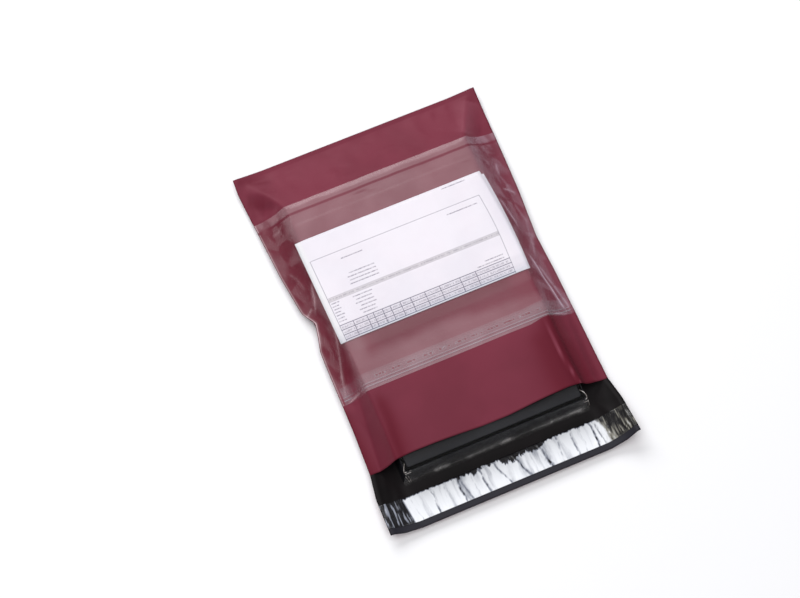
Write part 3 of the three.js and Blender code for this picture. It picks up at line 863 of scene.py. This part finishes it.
def black_board(name, light=1.0):
    """The carton: black board with a soft sheen and faint scuffs, and painted shade inside the bag."""
    s = Shader(name)

    def board(*levels):
        return colour(*(level * light for level in levels))

    base = s.mix(s.patches(45, 0.3, 0.7, detail=4), board(23, 23, 27), board(30, 30, 34))
    scuffs = s.noise(3, detail=3, vector=s.stretched(across=0.06))
    normal = s.bump(scuffs, 0.15, 0.2)
    # Painted shade, darker further into the bag from its mouth.
    shade_in_bag = s.spread(s.axis(1), MOUTH - 9, MOUTH + 3)
    base = s.mix(shade_in_bag, base, board(9, 9, 11))
    rough = s.patches(12, 0.3, 0.7, 0.45, 0.58)
    return s.finish(s.principled(base, rough, normal, specular=0.13 * light))


def wrap_film():
    """Clear shrink film on the carton, tight and glossy, with painted highlights in a band low on its front
    and at its corners, and faint painted streaks of reflection on its front face.
    """
    s = Shader("wrap_film")
    # Painted highlights, from the fold attribute.
    painted_glint = s.attribute("fold")
    patches = s.noise(9, detail=4, vector=s.stretched(across=0.4, along=0.2, height=0.2))
    patchy = s.spread(patches, 0.42, 0.62)
    streaks = s.spread(s.noise(2.6, detail=3, vector=s.stretched(across=0.08)), 0.35, 0.65, 0.4, 1.6)
    # Painted reflection: faint streaks on the front face.
    face = s.times(s.inside(s.axis(2), 3.0, RIM - 0.2, 0.4), streaks, 0.034)
    haze = s.add(0.002, face, s.times(painted_glint, s.add(0.16, patchy)))
    normal = s.bump(s.noise(2.2, detail=3, vector=s.stretched(across=0.35)), 0.35, 0.3)
    return s.finish(s.clear(haze, colour(214, 211, 210), 0.2, normal, shine=0.04))


# ---- Pieces ----

def flap_bow(across, along):
    """How far the flap's film bows outward between its curled corners."""
    middle = np.interp(np.abs(across), [104, 122, 130, 137], [1, 0.7, 0.3, 0.05])
    return FLAP_BOW * middle * smoothstep(32, 0, along)


def mouth_bow(across):
    """How far the front panel's cut edge bows back over the box's corners, and forward between them."""
    return np.interp(across, [-112, -85, -60, -35, -10, 20, 40, 65, 88, 112],
                     [0, 1.4, 1.0, 0, -1.6, -1.8, -0.6, 1.0, 2.0, 0])


def make_bag_film():
    """The bag's web: along the back panel from the flap's edge, round the fold, and back to the mouth."""
    back_rows = np.concatenate([steps(0, 84, 2.4), steps(84, LENGTH - LAND, 6.0)[1:], [LENGTH - 2, LENGTH]])
    front_rows = np.concatenate([[LENGTH - 1, LENGTH - LAND], steps(LENGTH - LAND, MOUTH, 2.3)[1:]])
    across_back, along_back = film_grid(back_rows)
    across_front, along_front = film_grid(front_rows)
    along_front = along_front + mouth_bow(across_front) * smoothstep(MOUTH + 24, MOUTH, along_front)
    across = np.concatenate([across_back, across_front])
    along = np.concatenate([along_back - flap_bow(across_back, along_back), along_front])
    height = np.concatenate([back_outer(across_back, along_back), front_outer(across_front, along_front)])
    piece = make_sheet("bag_web", across, along, height, maroon_film(), black_film(), flip=True)
    # The tone attribute carries the front panel's painted light and shade; the back panel gets none.
    tone = np.concatenate([np.ones(across_back.shape), panel_light_and_shade(across_front, along_front)])
    set_values(piece, "tone", tone)
    thicken(piece, FILM, inner_material=1)
    finish_piece(piece, "bag_film", "bag_film")


def pouch_haze_and_painted_light(across, along):
    """How hazy the pouch looks, with painted light and shade: less where it is drawn tight, on the slopes and
    below the sheet, painted shade below the sheet and in a valley on the left, painted reflections on the
    facets of the slopes, and painted highlights along its creases and its left seam.
    """
    bridged = 4 * smoothstep(322, 345, along)
    slopes = smoothstep(SHOULDER + 1 + bridged, SHOULDER + 9 + bridged, np.abs(across))
    below = SHEET_LOW[1] - 4 - 0.10 * np.abs(across + 15) + 3 * value_noise(across / 18, along / 14, 61)
    # Partly painted shadow of the sheet on the film below its fold, where the film is also drawn tight.
    tight = window(along, (below - 22, below - 7), (SHEET_LOW[1] + 6, SHEET_LOW[1] + 1))
    tight *= smoothstep(-92, -78, across)
    # Painted shade on the right, below the sheet.
    right = smoothstep(58, 96, across) * smoothstep(SHEET_LOW[1] + 4, SHEET_LOW[1] - 6, along)
    # Painted reflections: facets of the creased film on the slopes, lighter or darker as the light falls on
    # them.
    facet = crumple(1.2 * across + 0.25 * along, 0.55 * along, 14, 24, sharp=26)
    facets = np.clip(0.5 + 2.6 * facet, 0, 1) * np.where(across > 0, 0.62, 0.42)
    facets = facets + np.where(across > 0, 0.2, 0.10)
    facets += 0.35 * smoothstep(POUCH_HIGH[1] - SEAL + 1, POUCH_HIGH[1] - SEAL + 2.5, along)
    # Painted highlights along the creases.
    creases = 9.0 * sum(fold(across, along, path, strength, 0.7, 0.4, (0.2, 0.2))
                        for path, strength in POUCH_GLINTS)
    # Painted highlight along the left seam.
    edge = 2.8 * smoothstep(1.7, 1.1, seam_out(across, along) - np.abs(across)) * (across < 0)
    below_sheet = window(along, (BAND_HIGH[1] - 1, BAND_HIGH[1] + 2), (SHEET_LOW[1] + 4, SHEET_LOW[1]))
    level = (1 - slopes) * (1 - 0.75 * tight) * (1 - 0.35 * right) * (1 - 0.08 * below_sheet)
    # Painted shade in a valley by the sheet's left edge.
    valley = window(across, (-119, -115.5), (-99, -109)) * smoothstep(235, 205, along)
    return (level + slopes * facets) * (1 - 0.8 * valley) + creases + edge


def drawn_back(across, along):
    """The pouch's free edge is drawn back a little over the right shoulder."""
    return along + np.interp(across, [80, 94, 105, 119], [0, 2.6, 2.6, 0]) * smoothstep(178, 148, along)


def make_pouch_film():
    rows = steps(POUCH_LOW[1], POUCH_HIGH[1], 1.4)
    across, along = film_grid(rows, slope_steps=32, edge=0.85)
    along = drawn_back(across, along)
    piece = make_sheet("clear_pouch", across, along, pouch_inner(across, along), pouch_clear())
    set_values(piece, "haze", pouch_haze_and_painted_light(across, along))
    finish_piece(piece, "clear_film", "pouch_film")


def make_document():
    """One sheet folded in two: its lower leaf, the round fold, and its upper leaf, printed side up."""
    ways = np.linspace(0, math.pi, 7)[1:-1]
    strip = [(distance, 0.0, 0) for distance in steps(LEAF_LENGTH - 4, 0, 4)]
    strip += [(-SHEET_BEND * math.sin(way), SHEET_BEND * (1 - math.cos(way)), 0) for way in ways]
    strip += [(distance, 2 * SHEET_BEND, 1) for distance in steps(0, LEAF_LENGTH, 4)]
    columns = steps(0, SHEET_WIDTH, 4.2)
    distance, up, upper = (np.array(values, float)[:, None] for values in zip(*strip))
    x = columns[None, :] / SHEET_WIDTH
    left = SHEET_CORNERS["fold left"] + distance * SHEET_CORNERS["left edge"]
    right_rate = np.where(upper > 0, SHEET_CORNERS["right edge"], SHEET_CORNERS["lower right edge"])
    right = SHEET_CORNERS["fold right"] + distance * right_rate
    way = np.clip(distance / LEAF_LENGTH, 0, 1)[:, 0]
    right[:, 0] += 4 * SHEET_BULGE * way * (1 - way)
    across = left[:, :1] + (right - left)[:, :1] * x
    along = left[:, 1:] + (right - left)[:, 1:] * x
    far = distance / LEAF_LENGTH
    curl = 0.35 * upper * smoothstep(0.75, 1, far) * smoothstep(0.7, 1, x)
    height = sheet_base(across) + up - 0.2 * upper * smoothstep(0, 0.2, far) + curl
    piece = make_sheet("folded_sheet", across, along, height, printed_paper(), flip=True)
    places = np.stack([x * SHEET_WIDTH + 0 * far, np.maximum(distance, 0) + 0 * x], -1).reshape(-1, 2) * MM
    corner_points = [point for face in piece.data.polygons for point in face.vertices]
    piece.data.uv_layers.new(name="sheet").data.foreach_set("uv", places[corner_points].ravel())
    thicken(piece, PAPER)
    finish_piece(piece, "paper", "document")


def make_band_layer(name, node, slot, rise, low, high, material):
    """A strip of the pouch's closing band, which lies on the front panel from weld to weld."""
    rows = steps(low[1], high[1], 1.4)
    across, along = film_grid(rows, slope_steps=32, edge=0.1)
    along = drawn_back(across, along)
    piece = make_sheet(name, across, along, front_outer(across, along) + rise, material)
    finish_piece(piece, slot, node)


# Creases of the flap's liner: where each meets the strip's upper and lower edge, and how strong it is.
LINER_CREASES = [
    (-103.5, -100.5, 0.3), (-81.5, -79.8, 0.8), (-66, -70, 0.25), (-52.2, -52.4, 1.0), (-51, -44.5, 0.6),
    (-38, -36, 0.3), (-28.4, -26.8, 0.8), (-13, -2, 0.7), (8, 19.6, 0.7), (28, 26, 0.2), (37.5, 43, 1.0),
    (58.8, 54.8, 0.5), (72, 73.8, 0.7), (84, 82, 0.25), (95.3, 95.5, 1.0), (107, 110.5, 0.8), (99, 103, 0.6),
]


def liner_form(across, along):
    """Height of the liner's creases and its tone: 1 is bright, 0 is clear of the adhesive. The tone carries
    painted shade in and beside the creases, and painted highlight streaks on the clear ends past the adhesive.
    """
    low, high = STRIP_LOW[1], STRIP_HIGH[1]
    way = (high - along) / (high - low)
    shift = across + 1.2 * value_noise(across / 9 + 11, along / 8, 31)
    height = 0.25 * value_noise(shift / 3.1 + 5, along / 30, 33)
    height += 0.15 * value_noise(shift / 1.3, along / 22, 34)
    tone = 0.88 + 0.16 * value_noise(shift / 2.4 + 3, along / 26, 35)
    tone += 0.22 * value_noise(shift / 7, along / 40, 36)
    fray = 0.8 + 0.5 * value_noise(across / 1.4, along / 3.0, 37)
    fray += 0.25 * value_noise(across / 0.7, along / 1.6, 43)
    for top, bottom, strength in LINER_CREASES:
        distance = shift - (top + (bottom - top) * way)
        height += 0.7 * strength * np.exp(-np.abs(distance) / 1.3)
        # Painted shade: a dark line in each crease, and a broader shade beside it, wider on one side.
        line = np.exp(-(distance / ((0.6 + 0.9 * strength ** 2) * fray)) ** 2)
        shade = np.exp(-np.abs(distance) / np.where(distance > 0, 3.6, 1.0))
        tone -= strength * fray * (0.62 * line + 0.22 * shade)
    middle = window(across, (-62, -20), (62, 20))
    ragged = 0.9 + (0.8 + 5.5 * middle) * np.maximum(value_noise(across / 8.5 + 2, 0 * along, 38) + 0.15, 0)
    fringe = value_noise(across / 2.3, along / 6, 39) + value_noise(across / 0.9, along / 3, 44)
    ragged += (0.7 + 1.1 * middle) * fringe
    edge = smoothstep(high - ragged - 0.7, high - ragged + 0.5, along)
    bare = 0.03 + 0.16 * np.maximum(value_noise(across / 1.2, along / 1.5, 40), 0)
    tone = tone * (1 - edge) + bare * edge
    # Painted highlights: streaks on the clear ends of the liner, past the adhesive.
    streaks = np.maximum(value_noise(shift / 0.9 + 40, along / 13, 41) - 0.35, 0) * 0.9 + 0.10
    streaks += 0.10 * np.maximum(value_noise(shift / 2.5 + 7, along / 6, 42), 0) * (across > 0)
    covered = smoothstep(-109.5, -107.5, across + 0.12 * (along - low))
    right_end = across + 0.42 * (along - low) + 2 * value_noise(across / 2, along / 3, 45)
    covered *= smoothstep(116.5, 111, right_end)
    return height, tone * covered + streaks * (1 - covered)


def make_flap_liner():
    across, along = strip_grid(STRIP_LOW, STRIP_HIGH, 0.9, 361, inset=0.3)
    crease, tone = liner_form(across, along)
    flat = smoothstep(0, 2.5, along - STRIP_LOW[1]) * smoothstep(0, 1.5, STRIP_HIGH[1] - along)
    height = back_inner(across, along) + STRIP_RISE + np.maximum(crease, 0) * flat
    piece = make_sheet("crinkled_liner", across, along - flap_bow(across, along), height, crinkled_liner())
    set_values(piece, "tone", tone)
    thicken(piece, STRIP)
    finish_piece(piece, "flap_liner", "flap_liner")


def make_flap_adhesive():
    across, along = strip_grid(GLUE_LOW, GLUE_HIGH, 1.5, 181, inset=4.5)
    height = back_inner(across, along) + GLUE_RISE
    piece = make_sheet("flap_glue", across, along - flap_bow(across, along), height, milky_adhesive())
    thicken(piece, GLUE, side=1.0)
    finish_piece(piece, "adhesive", "flap_adhesive")


def box_front(height):
    """Along position of the carton's sloping front, at a height."""
    return BOX_LOW[1] + FRONT_SLOPE * (height - BOX_LOW[2]) / (BOX_HIGH[2] - BOX_LOW[2])


def box_ring(height, inset, radius=2.0):
    """Outline of the carton at a height, with its corners rounded."""
    lean = SIDE_SLOPE * (height - BOX_LOW[2]) / (BOX_HIGH[2] - BOX_LOW[2])
    right = BOX_HIGH[0] - lean - inset
    front, back = box_front(height) + inset, BOX_HIGH[1] - inset
    ring = []
    middles = ((right - radius, back - radius), (-right + radius, back - radius),
               (-right + radius, front + radius), (right - radius, front + radius))
    for quarter, (across, along) in enumerate(middles):
        for turn in range(5):
            angle = math.radians(90 * quarter + 22.5 * turn)
            ring.append((across + radius * math.cos(angle), along + radius * math.sin(angle), height))
    return ring


def make_box():
    """The carton: a tray with a lid set into it, with a slot between them and softened edges."""
    top = BOX_HIGH[2]
    foot = BOX_LOW[2]
    wall, lid = GROOVE
    levels = [(foot, 1.0), (foot + 0.6, 0.2), (foot + 1.4, 0.0), (RIM - 0.8, 0.0), (RIM - 0.25, 0.2),
              (RIM, wall - 0.3), (RIM - 0.3, wall), (GROOVE_FLOOR, wall), (GROOVE_FLOOR, lid),
              (top - 0.7, lid), (top - 0.15, lid + 0.3), (top, lid + 0.9)]
    rings = [box_ring(height, inset) for height, inset in levels]
    count = len(rings[0])
    points = [point for ring in rings for point in ring]
    faces = [list(range(count))[::-1], [len(points) - count + i for i in range(count)]]
    for start in range(0, len(points) - count, count):
        for i in range(count):
            j = (i + 1) % count
            faces.append([start + i, start + j, start + count + j, start + count + i])
    # The slot's faces take a near-black copy of the board, as painted shade in the slot.
    materials = [black_board("black_board"), black_board("slot_shade", 0.03)]
    piece = make_object("carton", points, faces, materials, smooth=False)
    for face in piece.data.polygons[2 + 6 * count:2 + 9 * count]:
        face.material_index = 1
    finish_piece(piece, "black_carton", "boxed_item")


def make_wrap():
    """Shrink film round the carton's front: tight on the lid and the front, with a loose skirt at its foot."""
    top = BOX_HIGH[2] + 0.12
    profile = [(box_front(top) + behind, top - drop)
               for behind, drop in ((22, 0), (12, 0), (4.4, 0), (2.4, 0.2), (0.6, 0.4))]
    profile += [(box_front(height) - ahead, height)
                for height, ahead in ((25.0, 0.2), (23, 0.35), (20, 0.4), (14, 0.5),
                                      (8, 0.7), (6, 0.9), (4, 1.3), (2.0, 2.0))]
    profile += [(box_front(1) - 2.9, 1.5), (box_front(1) - 3.8, 1.2)]
    columns = steps(-100.2, 100.2, 2.2)
    points, tones = [], []
    for index, (along, height) in enumerate(profile):
        lean = SIDE_SLOPE * (BOX_HIGH[2] - height) / BOX_HIGH[2]
        for place in columns:
            across = place * (1 + lean / 100)
            corner = smoothstep(84, 100, abs(place))
            loose = 0.0 if index < 4 else 0.25 + 0.6 * corner
            wave = float(value_noise(np.array(place / 6.0 + 50), np.array(index / 2.5), 51))
            skirt = max(0, index - 10) / 4
            lift = 0.7 * skirt * float(value_noise(np.array(place / 7.0 + 20), np.array(0.0), 52))
            points.append((across, along - loose * abs(wave), height + max(lift, -0.6)))
            # Painted highlights: a band low on the front, and paler film towards the corners.
            edge = 0.45 * (index in (10, 11)) + 0.15 * (index in (9, 12))
            tones.append(edge * (0.6 + 0.4 * wave) + 0.10 * corner * (index > 5))
    piece = make_object("carton_wrap", points, grid_faces(len(profile), len(columns)), [wrap_film()])
    set_values(piece, "fold", tones)
    finish_piece(piece, "clear_film")


def make_tucks():
    """The pinched folds of the shrink film at the carton's front corners, as thin raised ridges, pale as
    painted glints. Each has a path of (across, back from the carton's front, height) points, and a radius."""
    front = box_front(24)
    sides = 6
    paths = [
        ([(-97.5, 9, 26.4), (-100.4, 3.5, 26.2), (-101.2, 0.5, 24.8), (-98.5, 0.6, 24.6),
          (-93.5, 0.4, 24.9)], 0.42),
        ([(-100.8, -0.6, 22.6), (-97.5, -0.8, 22.9), (-94.0, -0.9, 23.0)], 0.3),
        ([(-100.5, -1.6, 17), (-98.5, -3.4, 9), (-97.0, -5.0, 3)], 0.34),
        ([(-97.6, -1.4, 16), (-96.0, -4.0, 8), (-95.6, -5.2, 3)], 0.26),
        ([(96.5, 10.5, 26.4), (99.6, 7.0, 26.4), (100.8, 3.0, 26.2), (100.5, 0.2, 25.3),
          (98.6, -0.6, 24.2)], 0.40),
        ([(101.6, -0.8, 20), (102.6, -2.4, 12), (103.4, -3.6, 6)], 0.32),
        ([(97.0, -1.6, 19), (99.6, -1.4, 18.6), (101.6, -1.4, 18.2)], 0.26),
    ]
    points, faces = [], []
    for path, radius in paths:
        way = np.array(path, float) + (0, front, 0)
        fine = np.linspace(0, len(way) - 1, 6 * (len(way) - 1) + 1)
        centre = np.stack([np.interp(fine, range(len(way)), way[:, axis]) for axis in range(3)], -1)
        for _ in range(3):
            centre[1:-1] = (centre[:-2] + 2 * centre[1:-1] + centre[2:]) / 4
        start = len(points)
        for place, spot in enumerate(centre):
            ahead = centre[min(place + 1, len(centre) - 1)] - centre[max(place - 1, 0)]
            ahead /= np.linalg.norm(ahead)
            side = np.cross(ahead, (0.2, 0.1, 1.0))
            side /= np.linalg.norm(side)
            up = np.cross(side, ahead)
            size = radius * (0.35 + 0.65 * math.sin(math.pi * (place + 0.5) / len(centre)) ** 0.5)
            for turn in range(sides):
                angle = 2 * math.pi * turn / sides
                points.append(spot + size * (side * math.cos(angle) + up * math.sin(angle)))
        for place in range(len(centre) - 1):
            for turn in range(sides):
                a, b = start + place * sides + turn, start + place * sides + (turn + 1) % sides
                faces.append([a, b, b + sides, a + sides])
        faces += [range(start + sides - 1, start - 1, -1), range(len(points) - sides, len(points))]
    # Pale film: painted glints on the pinched folds.
    s = Shader("folded_wrap")
    tone = s.noise(5)
    base = s.mix(s.spread(tone, 0.35, 0.65), colour(120, 112, 108), colour(214, 208, 204))
    material = s.finish(s.principled(base, 0.2, s.bump(tone, 0.2, 0.2)))
    piece = make_object("wrap_tucks", points, faces, [material])
    finish_piece(piece, "clear_film")


# ---- Setting, lights and camera ----

def make_floor():
    s = Shader("white_floor")
    material = s.finish(s.principled(colour(242, 242, 244), 0.6, specular=0.2))
    size = 6000
    corners = [(-size, -size, 0), (size, -size, 0), (size, size, 0), (-size, size, 0)]
    floor = make_object("floor", corners, [(0, 1, 2, 3)], [material])
    floor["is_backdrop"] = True


def softbox(name, place, size, power):
    """A rectangular light, in metres and watts, that faces the middle of the floor."""
    data = bpy.data.lights.new(name, "AREA")
    data.shape = "RECTANGLE"
    data.size, data.size_y = size
    data.energy = power
    lamp = bpy.data.objects.new(name, data)
    lamp.location = place
    lamp.rotation_euler = (-Vector(place)).to_track_quat("-Z", "Y").to_euler()
    bpy.context.scene.collection.objects.link(lamp)


def make_lights():
    """One softbox behind and to the left, one overhead, and a dim, almost white room."""
    world = bpy.data.worlds.new("studio")
    world.use_nodes = True
    background = world.node_tree.nodes["Background"]
    background.inputs["Color"].default_value = (0.96, 0.97, 1.0, 1)
    background.inputs["Strength"].default_value = 0.22
    bpy.context.scene.world = world
    softbox("back_softbox", place=(-0.3, 2.4, 2.0), size=(2.4, 1.6), power=70)
    softbox("top_softbox", place=(-0.2, -0.5, 2.8), size=(3.2, 3.0), power=64)


def make_camera():
    """Looks down on the bag from in front and to the left, with a long lens. Distances in metres."""
    azimuth, elevation = math.radians(-23.17), math.radians(69.78)
    distance = 2.3166
    target = Vector((-0.0283, 0.0212, 0.0))
    back = Vector((math.sin(azimuth) * math.cos(elevation), -math.cos(azimuth) * math.cos(elevation),
                   math.sin(elevation)))
    data = bpy.data.cameras.new("camera")
    data.lens = 100
    data.sensor_width = 36
    camera = bpy.data.objects.new("camera", data)
    camera.location = target + back * distance
    camera.rotation_euler = (-back).to_track_quat("-Z", "Y").to_euler()
    bpy.context.scene.collection.objects.link(camera)
    bpy.context.scene.camera = camera


bpy.context.scene.view_settings.view_transform = "Standard"

make_bag_film()
make_pouch_film()
make_document()
make_band_layer("band_liner", "pouch_liner", "pouch_liner", BAND_RISE, BAND_LOW, BAND_HIGH,
                band_film("band_liner", haze=0.044, marks=True))
make_band_layer("band_glue", "pouch_adhesive", "adhesive", 2 * BAND_RISE, GLUE_BAND_LOW, GLUE_BAND_HIGH,
                band_film("band_glue", haze=0.016))
make_flap_liner()
make_flap_adhesive()
make_box()
make_wrap()
make_tucks()
make_floor()
make_lights()
make_camera()

boxes = {"cad": CAD_BOUNDS, "visual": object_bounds()}
{name: [list(map(float, corner)) for corner in box] for name, box in boxes.items()}
